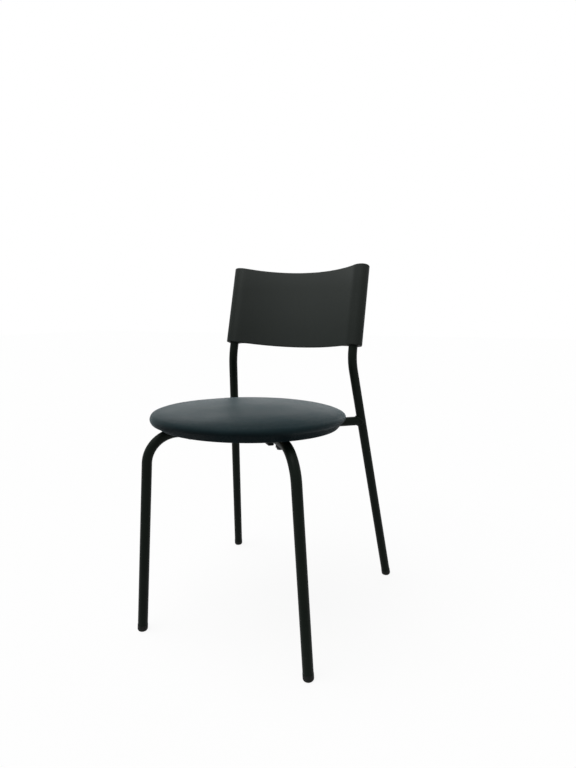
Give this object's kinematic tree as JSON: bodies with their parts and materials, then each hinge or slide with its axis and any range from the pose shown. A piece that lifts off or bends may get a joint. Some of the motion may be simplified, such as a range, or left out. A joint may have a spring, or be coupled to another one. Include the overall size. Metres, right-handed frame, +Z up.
{
  "type": "canteen chair",
  "caption": "Stacking chair with a bent-tube steel frame crossed under a round upholstered seat, and a curved moulded backrest socketed on its rear legs.",
  "frame": {"origin": "on the floor under the middle of the chair's bounding box", "axes": "+Z up, -Y the way a sitter faces, -X the left of someone looking at the chair's front"},
  "size_m": [0.4422, 0.5149, 0.7542],
  "materials": {
    "frame_paint": "fine-textured matt black powder coat",
    "foot_plastic": "moulded, matt black",
    "bumper_rubber": "moulded, matt black",
    "saddle_plastic": "moulded, matt black",
    "screw_steel": "black-coated steel",
    "nut_steel": "zinc-plated",
    "staple_steel": "galvanised wire",
    "board_wood": "plain plywood",
    "foam": "cut polyurethane foam",
    "cover_leatherette": "smooth coated leatherette, low sheen",
    "back_plastic": "moulded, fine satin grain"
  },
  "bodies": {
    "root": {"left_front_leg": "frame_paint", "right_front_leg": "frame_paint", "rear_cross_tube": "frame_paint", "left_rear_leg": "frame_paint", "right_rear_leg": "frame_paint", "cross_welds": "frame_paint", "rear_welds": "frame_paint", "left_front_foot": "foot_plastic", "right_front_foot": "foot_plastic", "left_rear_foot": "foot_plastic", "right_rear_foot": "foot_plastic", "left_bumper": "bumper_rubber", "right_bumper": "bumper_rubber", "seat_saddles": "saddle_plastic", "seat_washers": "saddle_plastic", "seat_screws": "screw_steel", "seat_tee_nuts": "nut_steel", "seat_staples": "staple_steel", "seat_board": "board_wood", "seat_foam": "foam", "seat_cover": "cover_leatherette", "back_shell": "back_plastic", "back_screws": "screw_steel"}
  },
  "joints": []
}
